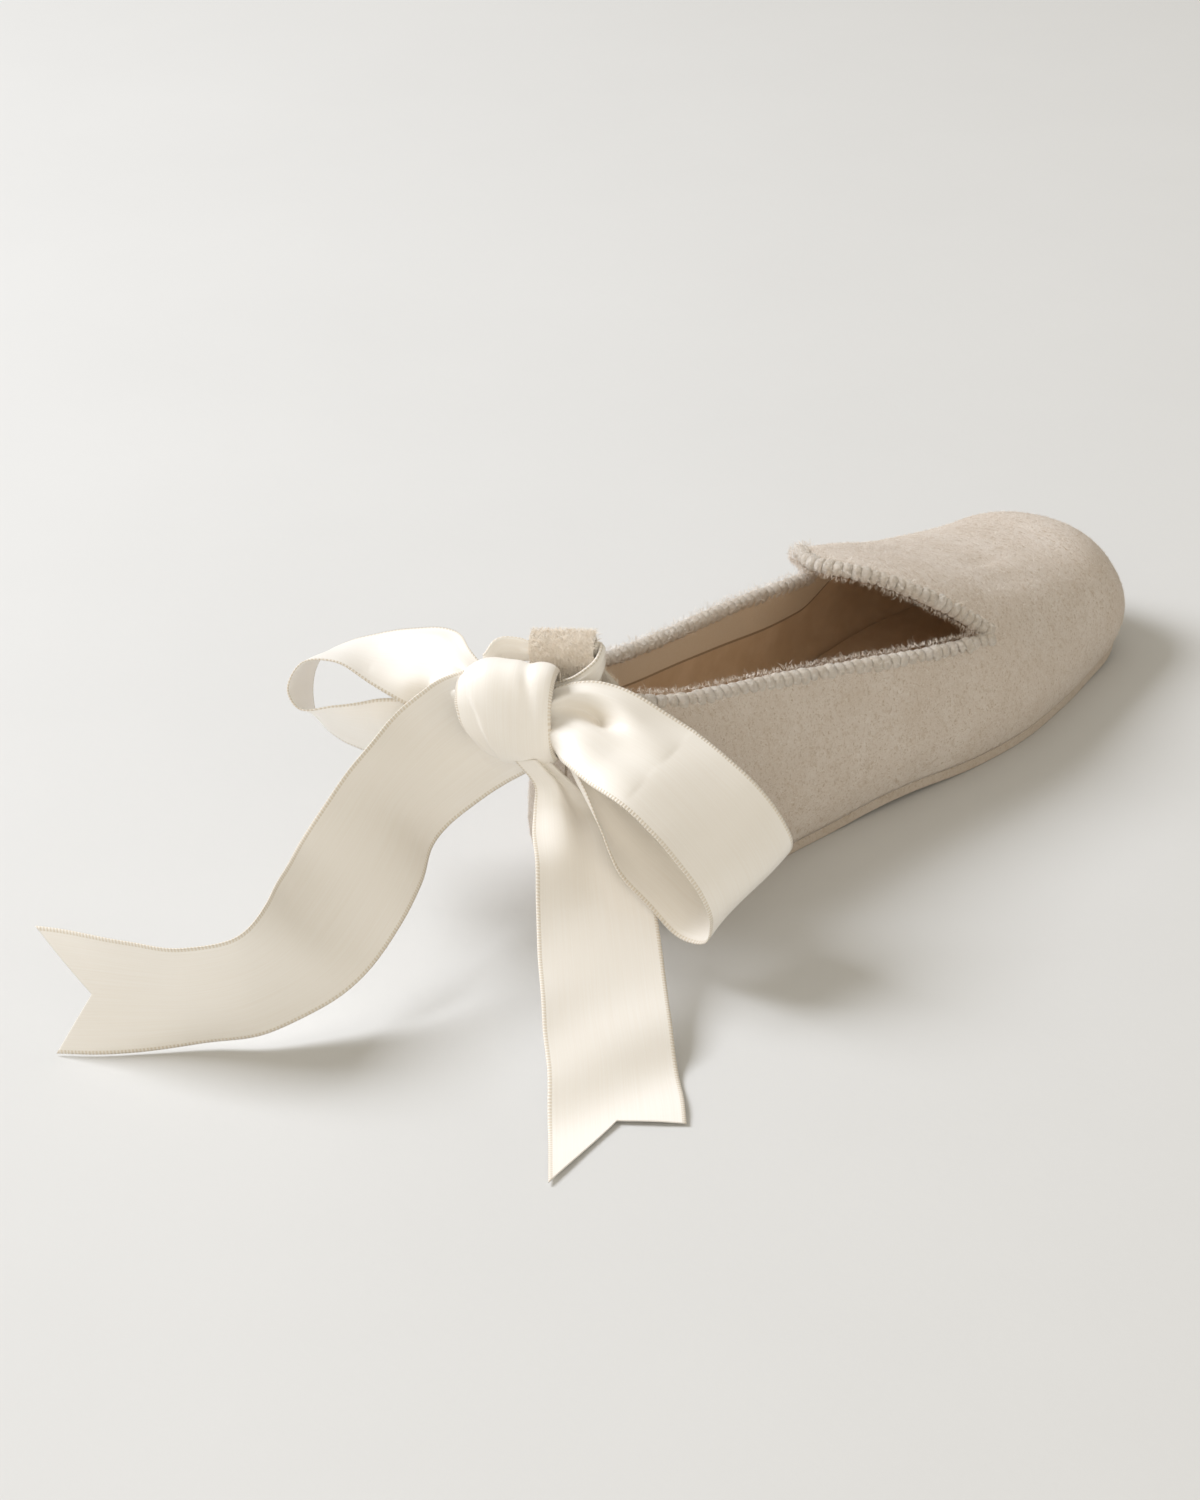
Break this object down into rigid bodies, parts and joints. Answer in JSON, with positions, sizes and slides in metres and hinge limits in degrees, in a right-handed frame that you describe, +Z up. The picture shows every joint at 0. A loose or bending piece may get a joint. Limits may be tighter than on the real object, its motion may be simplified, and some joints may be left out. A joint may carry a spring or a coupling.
{
  "type": "loafer slipper",
  "caption": "Right slip-on felt slipper in a loafer cut, with a high rounded vamp, a folded heel loop and a wide satin ribbon bow tied through the loop.",
  "frame": {"origin": "on the floor under the middle of the shoe's own box, without the ribbon", "axes": "+Z up, +Y from heel to toe, +X to the wearer's outer (lateral) side"},
  "size_m": [0.1755, 0.397, 0.0875],
  "materials": {
    "cream_felt": "matt",
    "lining_felt": "matt",
    "ivory_satin": "satin"
  },
  "bodies": {
    "root": {"upper": "cream_felt", "sole": "cream_felt", "insole": "lining_felt", "heel_loop": "cream_felt", "ribbon_band": "ivory_satin", "ribbon_knot": "ivory_satin", "ribbon_left_loop": "ivory_satin", "ribbon_right_loop": "ivory_satin", "ribbon_left_tail": "ivory_satin", "ribbon_right_tail": "ivory_satin"}
  },
  "joints": []
}
